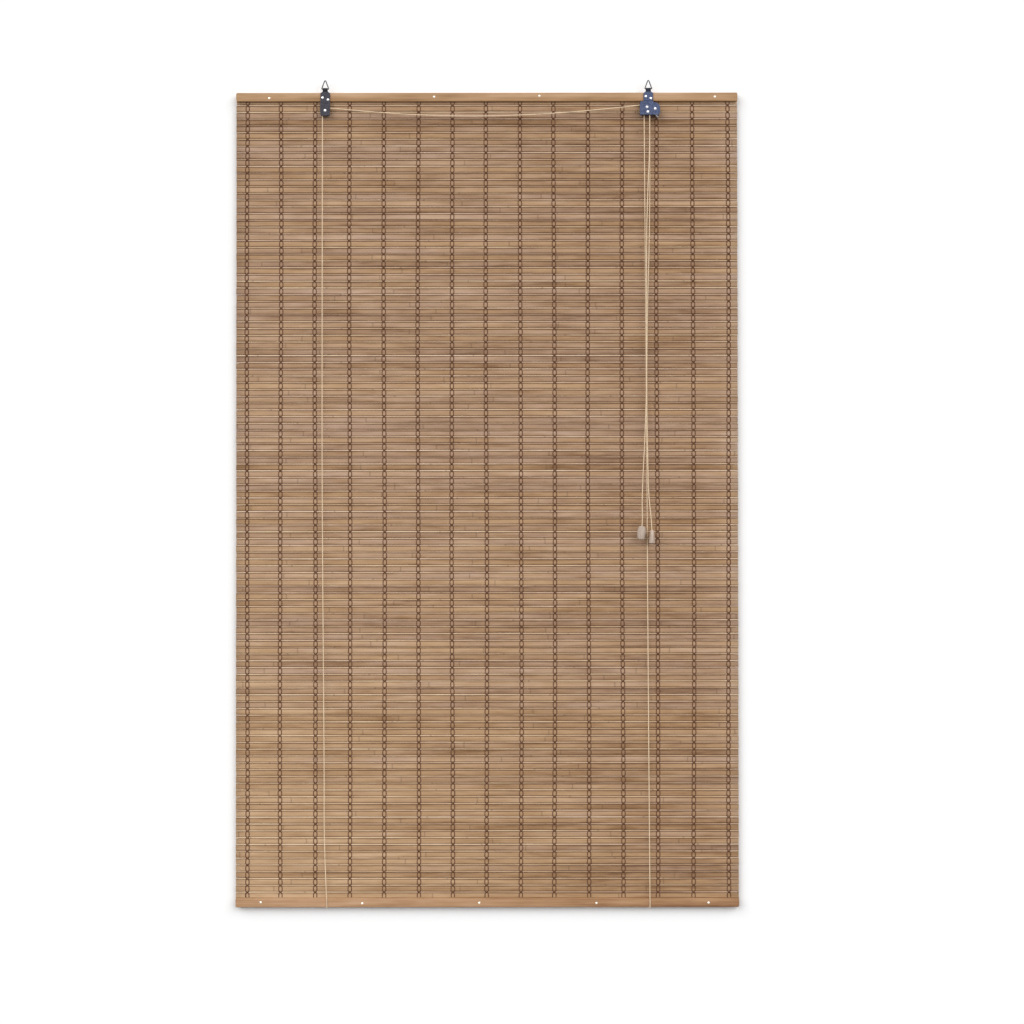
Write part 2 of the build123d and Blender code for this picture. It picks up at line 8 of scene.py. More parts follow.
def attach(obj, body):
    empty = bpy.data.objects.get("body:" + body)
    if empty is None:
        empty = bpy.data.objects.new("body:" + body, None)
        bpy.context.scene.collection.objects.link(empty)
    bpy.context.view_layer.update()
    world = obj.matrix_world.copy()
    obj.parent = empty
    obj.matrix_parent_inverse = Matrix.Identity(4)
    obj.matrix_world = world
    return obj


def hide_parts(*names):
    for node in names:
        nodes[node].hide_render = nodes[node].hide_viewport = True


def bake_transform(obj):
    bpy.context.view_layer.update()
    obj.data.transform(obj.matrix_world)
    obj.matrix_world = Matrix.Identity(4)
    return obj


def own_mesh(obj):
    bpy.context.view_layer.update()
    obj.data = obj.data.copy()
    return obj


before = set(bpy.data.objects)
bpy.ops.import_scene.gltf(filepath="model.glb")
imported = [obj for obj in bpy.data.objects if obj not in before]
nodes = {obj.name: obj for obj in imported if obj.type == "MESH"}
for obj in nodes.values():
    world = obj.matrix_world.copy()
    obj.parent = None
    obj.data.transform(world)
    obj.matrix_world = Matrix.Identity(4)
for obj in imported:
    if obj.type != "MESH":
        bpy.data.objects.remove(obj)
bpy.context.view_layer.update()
scene = bpy.context.scene
scene.view_settings.view_transform = "Standard"
rng = np.random.default_rng(422)
MM = 0.001
FULL_TURN = 2 * math.pi

# Sizes of the part, in millimetres, as in its source
MAT_WIDTH = 1000.0
SLAT, STICK, GROOVE, PITCH = 9.6, 2.4, 0.75, 13.51
STICK_COUNT = 117
RAIL_HEIGHT, MAT_TONGUE = 17.6, 13.4
MAT_TOP, HEADRAIL_FOOT, FIRST_SLAT_TOP = 7.0, -8.8, -4.3
RAIL_TOP = FIRST_SLAT_TOP - STICK_COUNT * PITCH - SLAT
RAIL_FOOT = RAIL_TOP - RAIL_HEIGHT
MAT_FOOT = RAIL_TOP - MAT_TONGUE
MAT_FRONT, MAT_BACK = -7.0, -5.0
THREAD_X = [
    -478, -411.5, -342.5, -273.5, -205, -137, -69.5, -1.5, 67.2, 134.2, 201.7, 269.5, 339, 411, 481,
]
CORD_DIAMETER = 2.0
TASSEL_HEIGHT, KNOT_DEPTH = 26.5, 20.5

# Camera, stage and light: places in metres, the lens and its sensor in millimetres, suns' angles in degrees
CAMERA_TARGET = Vector((0.0496, 0, -0.8276))
CAMERA_DISTANCE = 4.0
CAMERA_TILT, CAMERA_ROLL = math.radians(0.70), math.radians(-0.05)
SENSOR_WIDTH, LENS = 36, 70.48
FLOOR_Z, FLOOR_REACH, FLOOR_PALE = -4, 8, 0.9
WALL_Y, WALL_TOP, WALL_REACH, WALL_PALE = 0.0028, 3, 5, 0.945
SKY_STRENGTH = 0.22
SUNS = {
    "key_left": {"towards": (0.86, 1.0, -0.74), "angle": 56, "strength": 2.04},
    "key_right": {"towards": (-0.80, 1.0, -0.74), "angle": 56, "strength": 1.98},
    "rear": {"towards": (0.3, -1.0, -0.5), "angle": 60, "strength": 2.2},
}

# Colours along each ramp, and those that are laid over them: node scars, and painted shade on the batten's
# foot and on a plate's neck
SLAT_STOPS = [
    (0.0, (0.103, 0.052, 0.024)), (0.25, (0.228, 0.132, 0.071)), (0.5, (0.352, 0.226, 0.138)),
    (0.75, (0.443, 0.303, 0.200)), (1.0, (0.54, 0.397, 0.282)),
]
STICK_STOPS = [
    (0.0, (0.22, 0.13, 0.074)), (0.4, (0.40, 0.269, 0.169)),
    (0.7, (0.54, 0.392, 0.262)), (1.0, (0.68, 0.535, 0.378)),
]
HEAD_STOPS = [
    (0.1, (0.233, 0.122, 0.056)), (0.4, (0.383, 0.228, 0.118)),
    (0.6, (0.466, 0.288, 0.163)), (0.95, (0.575, 0.392, 0.246)),
]
FOOT_STOPS = [
    (0.1, (0.196, 0.093, 0.042)), (0.4, (0.338, 0.185, 0.093)),
    (0.6, (0.425, 0.246, 0.134)), (0.95, (0.545, 0.35, 0.22)),
]
THREAD_STOPS = [(0.25, (0.066, 0.025, 0.012)), (0.75, (0.178, 0.078, 0.042))]
CORD_STOPS = [(0.3, (0.59, 0.41, 0.243)), (0.5, (0.80, 0.622, 0.42)), (0.75, (0.90, 0.76, 0.58))]
TASSEL_STOPS = [(0.3, (0.28, 0.21, 0.16)), (0.5, (0.43, 0.34, 0.275)), (0.7, (0.58, 0.475, 0.395))]
PLASTIC_STOPS = [(0.3, (0.62, 0.60, 0.54)), (0.7, (0.72, 0.70, 0.64))]
SCAR_COLOUR = (0.10, 0.055, 0.03)
PAINTED_BATTEN_SHADE = (0.84, 0.78, 0.68)
PAINTED_NECK_SHADE = (0.006, 0.006, 0.009)

# Height where the painted shade on a plate's neck starts, and the height over which it darkens, in
# millimetres
NECK_FOOT, NECK_FADE = 9.0, 3.0


class Shader:
    """A material with its node tree, and short calls for the nodes that the materials here share."""

    def __init__(self, name, **sockets):
        self.material = bpy.data.materials.new(name)
        self.material.use_nodes = True
        self.tree = self.material.node_tree
        self.bsdf = self.tree.nodes["Principled BSDF"]
        for socket, value in sockets.items():
            self.bsdf.inputs[socket.replace("_", " ")].default_value = value

    def put(self, socket, value):
        if isinstance(value, bpy.types.NodeSocket):
            self.tree.links.new(value, socket)
        else:
            socket.default_value = value

    def node(self, kind, values=(), **settings):
        made = self.tree.nodes.new("ShaderNode" + kind)
        for key, value in settings.items():
            setattr(made, key, value)
        for key, value in dict(values).items():
            self.put(made.inputs[key], value)
        return made

    def math(self, operation, first, second=0.0):
        return self.node("Math", {0: first, 1: second}, operation=operation).outputs[0]

    def place(self, source):
        """The coordinates of a UV map, or the object's own where source is None."""
        if source:
            return self.node("UVMap", uv_map=source).outputs[0]
        return self.node("TexCoord").outputs["Object"]

    def axis(self, source, index):
        return self.node("SeparateXYZ", {0: self.place(source)}).outputs[index]

    def noise(self, source, waves, detail=3.0, rough=0.55):
        """Noise with so many waves in each unit of the coordinates."""
        point = self.node("VectorMath", {0: self.place(source), 1: waves}, operation="MULTIPLY").outputs[0]
        values = {"Vector": point, "Scale": 1.0, "Detail": detail, "Roughness": rough}
        return self.node("TexNoise", values).outputs[0]

    def attribute(self, name):
        return self.node("Attribute", attribute_name=name).outputs["Fac"]

    def ramp(self, factor, stops):
        made = self.node("ValToRGB", {0: factor})
        band = made.color_ramp
        while len(band.elements) < len(stops):
            band.elements.new(0.5)
        for element, (place, colour) in zip(band.elements, stops):
            element.position = place
            element.color = (*colour, 1)
        return made.outputs[0]

    def mix(self, factor, first, second, blend="MIX"):
        made = self.node("Mix", data_type="RGBA", blend_type=blend)
        self.put(made.inputs[0], factor)
        for socket, value in ((made.inputs[6], first), (made.inputs[7], second)):
            self.put(socket, (*value, 1) if isinstance(value, tuple) else value)
        return made.outputs[2]

    def layered(self, base, *layers):
        """The base with noises added to it, each brought about zero and times its amount."""
        for noise, amount in layers:
            swing = self.math("MULTIPLY", self.math("SUBTRACT", noise, 0.5), amount)
            base = self.math("ADD", base, swing)
        return base

    def weighted(self, *layers):
        """The sum of noises, each times its weight."""
        total = 0.0
        for noise, weight in layers:
            total = self.math("ADD", total, self.math("MULTIPLY", noise, weight))
        return total

    def slope(self, value, low, high, low_value, high_value):
        """A value that runs smoothly from low_value to high_value while another goes from low to high."""
        limits = {0: value, 1: low, 2: high, 3: low_value, 4: high_value}
        return self.node("MapRange", limits, interpolation_type="SMOOTHSTEP").outputs[0]

    def bump(self, height, strength, distance):
        values = {"Height": height, "Strength": strength, "Distance": distance}
        self.put(self.bsdf.inputs["Normal"], self.node("Bump", values).outputs[0])

    def finish(self, colour, rough=None):
        self.put(self.bsdf.inputs["Base Color"], colour)
        if rough is not None:
            self.put(self.bsdf.inputs["Roughness"], rough)
        return self.material


# Camera, stage and light
def make_camera():
    towards = Vector((0, math.cos(CAMERA_TILT), math.sin(CAMERA_TILT)))
    data = bpy.data.cameras.new("camera")
    data.sensor_width = SENSOR_WIDTH
    data.lens = LENS
    camera = bpy.data.objects.new("camera", data)
    camera.location = CAMERA_TARGET - CAMERA_DISTANCE * towards
    camera.rotation_mode = "QUATERNION"
    camera.rotation_quaternion = towards.to_track_quat("-Z", "Y") @ Quaternion((0, 0, 1), CAMERA_ROLL)
    scene.collection.objects.link(camera)
    scene.camera = camera


def make_plane(name, corners, material):
    mesh = bpy.data.meshes.new(name)
    mesh.from_pydata(corners, [], [range(len(corners))])
    mesh.materials.append(material)
    plane = bpy.data.objects.new(name, mesh)
    scene.collection.objects.link(plane)
    return plane


def make_floor():
    pale = Shader("stage_pale", Base_Color=(FLOOR_PALE, FLOOR_PALE, FLOOR_PALE, 1), Roughness=1)
    signs = ((-1, -1), (1, -1), (1, 1), (-1, 1))
    corners = [(x * FLOOR_REACH, y * FLOOR_REACH, FLOOR_Z) for x, y in signs]
    floor = make_plane("floor", corners, pale.material)
    floor.visible_diffuse = False


def make_wall():
    """A wall that is seen from its front only, so that it hides nothing from behind, and takes the shadow."""
    paint = Shader(
        "stage_wall", Base_Color=(WALL_PALE, WALL_PALE, WALL_PALE, 1), Roughness=1, Specular_IOR_Level=0
    )
    behind = paint.node("NewGeometry").outputs["Backfacing"]
    clear = paint.node("BsdfTransparent").outputs[0]
    shown = paint.node("MixShader", {0: behind, 1: paint.bsdf.outputs[0], 2: clear}).outputs[0]
    paint.put(paint.tree.nodes["Material Output"].inputs["Surface"], shown)
    corners = [
        (-WALL_REACH, WALL_Y, FLOOR_Z), (WALL_REACH, WALL_Y, FLOOR_Z),
        (WALL_REACH, WALL_Y, WALL_TOP), (-WALL_REACH, WALL_Y, WALL_TOP),
    ]
    wall = make_plane("wall", corners, paint.material)
    wall.visible_shadow = False
    wall.visible_diffuse = False
    wall.visible_glossy = False
    wall.visible_transmission = False


def make_sun(name, towards, angle, strength):
    data = bpy.data.lights.new(name, "SUN")
    data.angle = math.radians(angle)
    data.energy = strength
    sun = bpy.data.objects.new(name, data)
    sun.rotation_euler = Vector(towards).to_track_quat("-Z", "Y").to_euler()
    scene.collection.objects.link(sun)


def make_world():
    """White where it is seen or mirrored, and a soft light for the rest."""
    world = bpy.data.worlds.new("world")
    world.use_nodes = True
    tree = world.node_tree
    ray = tree.nodes.new("ShaderNodeLightPath")
    seen = ray.outputs["Is Camera Ray"]
    for kind in ("Is Glossy Ray", "Is Transmission Ray"):
        either = tree.nodes.new("ShaderNodeMath")
        either.operation = "MAXIMUM"
        tree.links.new(seen, either.inputs[0])
        tree.links.new(ray.outputs[kind], either.inputs[1])
        seen = either.outputs[0]
    strength = tree.nodes.new("ShaderNodeMapRange")
    strength.inputs["To Min"].default_value = SKY_STRENGTH
    tree.links.new(seen, strength.inputs["Value"])
    tree.nodes["Background"].inputs["Color"].default_value = (1, 1, 1, 1)
    tree.links.new(strength.outputs[0], tree.nodes["Background"].inputs["Strength"])
    scene.world = world


make_camera()
make_floor()
make_wall()
for sun_name, sun_facts in SUNS.items():
    make_sun(sun_name, **sun_facts)
make_world()


# Materials
def bamboo_material(name, stops, node_spacing, cool, warm):
    """Split bamboo: fine streaks along the length, dark stretches, a tone for each strip that carries painted
    light and shade, and node scars.
    """
    s = Shader(name, Specular_IOR_Level=0.15)
    streak = s.noise("grain", (7, 1500, 0), detail=4.0, rough=0.6)
    band = s.noise("grain", (3, 330, 0), detail=2.0)
    blotch = s.noise("grain", (22, 110, 0))
    stretch = s.noise("grain", (6, 60, 0), detail=2.0)
    drift = s.noise("grain", (8, 75, 0), detail=2.0)
    # The tone attribute carries painted light and shade, and the tint attribute painted warm light, besides
    # each strip's own tone and tint
    tone = s.layered(s.attribute("tone"), (streak, 0.40), (band, 0.40), (blotch, 0.55), (stretch, 0.85))
    colour = s.ramp(tone, stops)
    lean = s.layered(s.attribute("tint"), (drift, 2.2))
    sides = [s.mix(1.0, colour, side, "MULTIPLY") for side in (cool, warm)]
    colour = s.mix(s.node("Clamp", {0: lean}).outputs[0], *sides)
    between_nodes = s.math("FRACT", s.math("DIVIDE", s.axis("grain", 0), node_spacing))
    from_node = s.math("ABSOLUTE", s.math("SUBTRACT", between_nodes, 0.5))
    scar = s.slope(from_node, low=0.0, high=0.006, low_value=0.4, high_value=0.0)
    colour = s.mix(scar, colour, SCAR_COLOUR)
    s.bump(s.math("SUBTRACT", streak, s.math("MULTIPLY", scar, 0.8)), strength=0.35, distance=0.0004)
    return s.finish(colour, s.layered(0.52, (blotch, 0.25)))


def batten_material(name, stops, painted_light_falloff, shade_top=None, shade_foot=None):
    """A split batten with its grain along x, with painted light falling off to the right by the given amount,
    and painted shade towards its foot below shade_top.
    """
    s = Shader(name, Specular_IOR_Level=0.2)
    streak = s.noise(None, (9, 500, 650), detail=4.0, rough=0.6)
    band = s.noise(None, (5, 120, 210))
    drift = s.noise(None, (9, 30, 60))
    tone = s.layered(0.5, (streak, 0.5), (band, 0.8), (drift, 0.9))
    # Painted light falling off from left to right
    tone = s.math("SUBTRACT", tone, s.math("MULTIPLY", s.axis(None, 0), painted_light_falloff))
    s.bump(streak, strength=0.3, distance=0.0004)
    colour = s.ramp(tone, stops)
    # Painted shade darkening the batten towards its foot
    if shade_top is not None:
        shaded = s.mix(1.0, colour, PAINTED_BATTEN_SHADE, "MULTIPLY")
        shade = s.slope(s.axis(None, 2), shade_foot * MM, shade_top * MM, low_value=1.0, high_value=0.0)
        colour = s.mix(shade, colour, shaded)
    return s.finish(colour, s.layered(0.46, (drift, 0.2)))


def thread_material():
    s = Shader("thread", Roughness=0.85, Specular_IOR_Level=0.2)
    twist = s.noise("grain", (900, 900, 0), detail=2.0)
    drift = s.noise("grain", (40, 8, 0), detail=2.0)
    s.bump(twist, strength=0.5, distance=0.0003)
    return s.finish(s.ramp(s.weighted((twist, 0.6), (drift, 0.5)), THREAD_STOPS))


def cord_material():
    s = Shader("cord", Roughness=0.8, Specular_IOR_Level=0.25, Sheen_Weight=0.2)
    fibre = s.noise("grain", (700, 3, 0))
    drift = s.noise("grain", (30, 1, 0), detail=2.0)
    s.bump(fibre, strength=0.3, distance=0.0002)
    return s.finish(s.ramp(s.weighted((fibre, 0.6), (drift, 0.4)), CORD_STOPS))


def metal_material(name, dark, light, metallic, rough, grain, neck=None):
    """Mottled metal with so many mottles in a metre, with painted shade blackening it above the height neck
    where one is given.
    """
    s = Shader(name, Metallic=metallic)
    mottle = s.noise(None, (grain, grain, grain), detail=4.0, rough=0.6)
    fine = s.noise(None, (4000, 4000, 4000), detail=2.0)
    s.bump(fine, strength=0.25, distance=0.0002)
    colour = s.ramp(mottle, [(0.3, dark), (0.7, light)])
    # Painted shade blackening the plate's neck
    if neck is not None:
        full = neck + NECK_FADE
        neck_painted_shade = s.slope(s.axis(None, 2), neck * MM, full * MM, low_value=0.0, high_value=0.85)
        colour = s.mix(neck_painted_shade, colour, PAINTED_NECK_SHADE)
    return s.finish(colour, s.layered(rough, (mottle, 0.25)))


def plastic_material():
    s = Shader("sheave_plastic", Specular_IOR_Level=0.4)
    mottle = s.noise(None, (900, 900, 900))
    s.bump(mottle, strength=0.15, distance=0.0002)
    return s.finish(s.ramp(mottle, PLASTIC_STOPS), s.layered(0.42, (mottle, 0.2)))


def tassel_material(name, light):
    s = Shader(name, Specular_IOR_Level=0.35)
    grain = s.noise(None, (700, 700, 45), detail=4.0, rough=0.6)
    drift = s.noise(None, (160, 160, 60))
    s.bump(grain, strength=0.25, distance=0.0003)
    colour = s.ramp(s.weighted((grain, 0.6), (drift, 0.4)), TASSEL_STOPS)
    # Painted light and shade: each tassel's copy of the wood is lightened or darkened by this factor
    colour = s.mix(1.0, colour, (light, light, light), "MULTIPLY")
    return s.finish(colour, s.layered(0.5, (drift, 0.2)))


slat_look = bamboo_material(
    "bamboo_slat", SLAT_STOPS, node_spacing=0.37, cool=(1.0, 0.975, 1.04), warm=(1.05, 0.98, 0.85)
)
stick_look = bamboo_material(
    "bamboo_stick", STICK_STOPS, node_spacing=0.43, cool=(1.02, 0.975, 1.03), warm=(1.02, 0.98, 0.92)
)
head_look = batten_material(
    "headrail_bamboo", HEAD_STOPS, painted_light_falloff=0.1, shade_top=0.0, shade_foot=HEADRAIL_FOOT
)
foot_look = batten_material("bottom_rail_bamboo", FOOT_STOPS, painted_light_falloff=0.35)
thread_look = thread_material()
cord_look = cord_material()
left_plate_look = metal_material(
    "slate_plate", dark=(0.010, 0.010, 0.016), light=(0.045, 0.042, 0.057),
    metallic=0.45, rough=0.45, grain=420, neck=NECK_FOOT,
)
lock_plate_look = metal_material(
    "navy_plate", dark=(0.011, 0.020, 0.052), light=(0.080, 0.102, 0.190),
    metallic=0.45, rough=0.45, grain=420, neck=NECK_FOOT,
)
bright_look = metal_material(
    "bright_steel", dark=(0.86, 0.86, 0.87), light=(0.95, 0.95, 0.95), metallic=0.55, rough=0.28, grain=900
)
nail_look = metal_material(
    "nail_steel", dark=(0.84, 0.78, 0.66), light=(0.95, 0.91, 0.82), metallic=0.5, rough=0.3, grain=900
)
wire_look = metal_material(
    "wire_steel", dark=(0.040, 0.041, 0.046), light=(0.095, 0.097, 0.103),
    metallic=0.85, rough=0.36, grain=700,
)
lock_look = metal_material(
    "cast_metal", dark=(0.15, 0.15, 0.155), light=(0.27, 0.27, 0.28), metallic=0.7, rough=0.5, grain=500
)
plastic_look = plastic_material()
# Two copies of one wood, given different painted light and shade
left_tassel_look = tassel_material("left_tassel_wood", light=0.92)
right_tassel_look = tassel_material("right_tassel_wood", light=1.25)


# Meshes
def make_mesh(name, points, faces, material, uv, attributes=None):
    """A smooth-shaded mesh from points in millimetres, with a UV and float attributes for each point."""
    mesh = bpy.data.meshes.new(name)
    mesh.from_pydata((np.asarray(points).reshape(-1, 3) * MM).tolist(), [], faces)
    mesh.polygons.foreach_set("use_smooth", np.ones(len(mesh.polygons), bool))
    corners = np.empty(len(mesh.loops), np.int32)
    mesh.loops.foreach_get("vertex_index", corners)
    grain = mesh.uv_layers.new(name="grain")
    grain.data.foreach_set("uv", np.asarray(uv, np.float32).reshape(-1, 2)[corners].ravel())
    for key, values in (attributes or {}).items():
        layer = mesh.attributes.new(key, "FLOAT", "POINT")
        layer.data.foreach_set("value", np.asarray(values, np.float32).ravel())
    mesh.materials.append(material)
    made = bpy.data.objects.new(name, mesh)
    scene.collection.objects.link(made)
    return made


def tube_faces(stations, sides, first=0):
    """Quads round a tube whose points are stations rows of sides points, and its two end caps."""
    row = np.arange(stations - 1)[:, None] * sides
    here = np.arange(sides)[None, :]
    there = (here + 1) % sides
    corners = [row + here, row + there, row + sides + there, row + sides + here]
    faces = (np.stack(corners, -1).reshape(-1, 4) + first).tolist()
    last = first + (stations - 1) * sides
    faces.append(list(range(first + sides - 1, first - 1, -1)))
    faces.append(list(range(last, last + sides)))
    return faces


def grid_uv(along, around):
    return np.stack(np.broadcast_arrays(along[:, None], around[None, :]), -1)


def directions(points):
    """The unit direction of a line at each of its points."""
    tangents = np.gradient(points, axis=0)
    return tangents / np.linalg.norm(tangents, axis=1)[:, None]


def distances(points):
    """How far along a line each of its points lies."""
    return np.concatenate([[0], np.cumsum(np.linalg.norm(np.diff(points, axis=0), axis=1))])


def follow_lift(piece):
    """The piece takes a mesh of its own and goes with the headrail."""
    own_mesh(piece)
    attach(piece, "headrail")


# Cords, in millimetres: each follows the points of its own smooth line, and has lobes that turn about it
CORD_SIDES, CORD_LOBES, LAY_LENGTH = 9, 3, 12.0
LOBE_MIDDLE, LOBE_SWING = 0.94, 0.08
SHORT_CORD, SHORT_STEP, LONG_STEP = 100, 0.7, 1.4
LINE_RESOLUTION = 1024


def thinned(points):
    """Those of a line's points that lie about a step apart, close enough together for the lay of a cord."""
    along = distances(points)
    step = SHORT_STEP if along[-1] < SHORT_CORD else LONG_STEP
    places = np.linspace(0, along[-1], round(along[-1] / step) + 1)
    kept = np.abs(along[None, :] - places[:, None]).argmin(1)
    return points[np.unique(kept)]


def cord_points(name, route):
    line = bpy.data.curves.new(name + "_line", "CURVE")
    line.dimensions = "3D"
    spline = line.splines.new("NURBS")
    spline.points.add(len(route) - 1)
    for point, place in zip(spline.points, route):
        point.co = (*(Vector(place) * MM), 1)
    spline.order_u = min(3, len(route))
    spline.use_endpoint_u = True
    spline.resolution_u = LINE_RESOLUTION
    holder = bpy.data.objects.new(name + "_line", line)
    scene.collection.objects.link(holder)
    bpy.context.view_layer.update()
    drawn = bpy.data.meshes.new_from_object(holder.evaluated_get(bpy.context.evaluated_depsgraph_get()))
    points = thinned(np.array([v.co for v in drawn.vertices]) / MM)
    bpy.data.objects.remove(holder)
    bpy.data.curves.remove(line)
    bpy.data.meshes.remove(drawn)
    return points


def make_cord(name, route):
    points = cord_points(name, route)
    along = distances(points)
    tangents = directions(points)
    angle = np.arange(CORD_SIDES) / CORD_SIDES * FULL_TURN
    radius = CORD_DIAMETER / 2 * (LOBE_MIDDLE + LOBE_SWING * np.cos(CORD_LOBES * angle))
    # The first direction across the line comes from an axis that doesn't lie along it
    across = np.cross(tangents[0], (1, 0, 0) if abs(tangents[0][0]) < 0.9 else (0, 1, 0))
    rings = []
    for place, tangent, far in zip(points, tangents, along):
        across = across - tangent * (across @ tangent)
        across /= np.linalg.norm(across)
        other = np.cross(tangent, across)
        turn = angle + far / LAY_LENGTH * FULL_TURN
        spokes = np.cos(turn)[:, None] * across + np.sin(turn)[:, None] * other
        rings.append(place + radius[:, None] * spokes)
    uv = grid_uv(along * MM, angle / math.pi)
    piece = make_mesh(name, rings, tube_faces(len(points), CORD_SIDES), cord_look, uv)
    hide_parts(name.removesuffix("_rope"))
    return piece


# Routes of the cords, in millimetres, as in the part's source
CORD_FRONT, CORD_BACK = -13.2, 1.2
LOOP_TOP, LOOP_FOOT = RAIL_FOOT + 6.0, RAIL_FOOT - 1.2
LOOP_BEND = LOOP_FOOT + 2.9
SOCKET_END = -3.0
REAR_Y, FRONT_Y = -15.1, -19.0
LOCK_X, LOCK_EXIT = 324.5, -39.2
CORD_FEET = {"left": -318.3, "right": 322.8}
LIFT_TOPS = {"left": (-327.5, REAR_Y, -30.6), "right": (313.5, REAR_Y, -25.1)}
LIFT_WAYS = {
    "left": [
        (-328.0, -14.7, -400), (-328.2, -14.3, -760), (-326.0, -14.0, -1060), (-323.7, -13.7, -1330),
        (-324.0, -13.5, -1500),
    ],
    "right": [(317.6, -14.4, -640), (319.6, -13.8, -1140)],
}
CROSS_ROUTE = [
    LIFT_TOPS["left"], (-327.5, REAR_Y, -21.6), (-315.0, -15.2, -22.6), (-270.2, -15.4, -26.6),
    (-214.3, -15.7, -31.6), (-158.5, -16.1, -35.5), (-102.7, -16.5, -38.1), (-46.9, -16.9, -39.4),
    (9.0, -17.3, -39.2), (64.8, -17.7, -37.7), (120.6, -18.1, -34.9), (176.5, -18.5, -31.0),
    (232.3, -18.9, -26.0), (280.1, FRONT_Y, -21.2), (312.0, FRONT_Y, -17.2), (LOCK_X, FRONT_Y, -15.9),
    (LOCK_X, FRONT_Y, -26.0), (LOCK_X, FRONT_Y, LOCK_EXIT),
]
LOCK_ROUTE = [
    LIFT_TOPS["right"], (313.5, REAR_Y, -16.6), (LOCK_X, REAR_Y, -16.6), (LOCK_X, REAR_Y, -24.0),
    (LOCK_X, REAR_Y, LOCK_EXIT),
]
LEFT_TILT = math.radians(5.5)
TASSEL_TOPS = {"left": Vector((307.6, -24, -856.5)), "right": Vector((327.2, -24, -864))}
TASSEL_AXES = {"left": Vector((math.sin(LEFT_TILT), 0, math.cos(LEFT_TILT))), "right": Vector((0, 0, 1))}
PULL_WAYS = {
    "left": [
        (LOCK_X, FRONT_Y, LOCK_EXIT), (324.6, -19.3, -100), (320.6, -19.7, -180), (317.6, -20.2, -270),
        (317.6, -20.7, -370), (317.4, -21.3, -480), (317.0, -21.9, -590), (313.6, -22.6, -680),
        (309.5, -23.3, -755), (307.4, -23.8, -810),
    ],
    "right": [
        (LOCK_X, REAR_Y, LOCK_EXIT), (324.9, -15.9, -105), (324.4, -16.9, -200), (323.2, -17.9, -290),
        (320.6, -18.9, -375), (318.6, -19.8, -460), (317.6, -20.7, -555), (317.6, -21.6, -645),
        (319.3, -22.5, -725), (320.4, -23.4, -795),
    ],
}


def make_lift_cords(side):
    """A lift cord down the front of the mat, its loop under the bottom rail, and its run up the back."""
    x = CORD_FEET[side]
    loop_route = [
        (x, CORD_FRONT, LOOP_TOP), (x, CORD_FRONT, LOOP_BEND), (x, CORD_FRONT, LOOP_FOOT),
        (x, -9.0, LOOP_FOOT), (x, -3.0, LOOP_FOOT),
        (x, CORD_BACK, LOOP_FOOT), (x, CORD_BACK, LOOP_BEND), (x, CORD_BACK, LOOP_TOP),
    ]
    loop = make_cord(f"{side}_rail_loop_rope", loop_route)
    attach(loop, "bottom_rail")
    lift_route = [LIFT_TOPS[side], *LIFT_WAYS[side], (x, CORD_FRONT, LOOP_TOP)]
    lift = make_cord(f"{side}_lift_cord_rope", lift_route)
    follow_lift(lift)
    back_route = [(x, -2.5, SOCKET_END), (x, 0.4, -900), (x, 1.75, -1420), (x, CORD_BACK, LOOP_TOP)]
    back = make_cord(f"{side}_back_cord_rope", back_route)
    follow_lift(back)


def make_pull_cord(side):
    """A pull cord from the lock down into its tassel."""
    top, axis = TASSEL_TOPS[side], TASSEL_AXES[side]
    route = [*PULL_WAYS[side], top + axis * TASSEL_HEIGHT / 2, top - axis * KNOT_DEPTH]
    pull = make_cord(f"{side}_pull_cord_rope", route)
    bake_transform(pull)


make_lift_cords("left")
make_lift_cords("right")
cross_cord = make_cord("cross_cord_rope", CROSS_ROUTE)
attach(cross_cord, "headrail")
lock_cord = make_cord("right_lock_cord_rope", LOCK_ROUTE)
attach(lock_cord, "headrail")
make_pull_cord("left")
make_pull_cord("right")


# Mat: slats and sticks, each with its own bow, ends, tone and grain, and dents past EDGE_SHARE of its height;
# painted shade darkens their edges
STRIP_STATIONS = 29
STRIP_BOW, SWAY_SHARE, STRIP_TILT, RAGGED_END = 0.12, 0.4, 0.012, 0.7
DENT_CHANCE, DENT_DEPTH, EDGE_WOBBLE = 0.12, 0.25, 0.05
EDGE_SHARE = 0.4
BACK_GRAIN, STRIP_GRAIN_SHIFT = 40.0, 20
# Each point of a section: y, share of height, and painted shade darkening the edges where the grooves' shade
# falls
SLAT_SIDE = [(0.25, 0.54, -0.65), (0.80, 0.487, -0.5), (0.93, 0.42, -0.08), (0.98, 0.2, 0.0)]
SLAT_SECTION = [
    *[(-y, z, shade) for y, z, shade in SLAT_SIDE], *[(-y, -z, shade) for y, z, shade in reversed(SLAT_SIDE)],
    *[(y, -z, shade) for y, z, shade in SLAT_SIDE], *[(y, z, shade) for y, z, shade in reversed(SLAT_SIDE)],
]
# The stick's painted shade darkens its top and bottom edges, beside the grooves
STICK_SIDES, STICK_DEPTH, STICK_RISE, STICK_PAINTED_SHADE = 12, 1.28, 0.63, 0.55
STICK_SECTION = [
    (-STICK_DEPTH * math.cos(turn), STICK_RISE * math.sin(turn), -STICK_PAINTED_SHADE * abs(math.sin(turn)) ** 5)
    for turn in np.linspace(math.pi, -math.pi, STICK_SIDES, endpoint=False)
]


def painted_mat_light_and_shade(drop, across):
    """Painted light and shade on the mat, at a share of its drop and a share of its half width.

    Painted lightest below the middle, darker to the right and most at the foot, and light at its right edge.
    """
    down = -0.04 + 0.25 * drop - 0.17 * drop ** 2
    to_right = 0.05 + 0.035 * drop + 0.15 * drop ** 6
    return down - to_right * across + 0.32 * np.maximum(across, 0) ** 20


def painted_warm_light(drop, across):
    """Painted warm light on the mat: how much warmer it grows towards its foot, and there towards the left.
    """
    return 0.55 * drop ** 4 * (1.2 - across)


def add_to_mat(piece, node):
    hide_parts(node)
    follow_lift(piece)


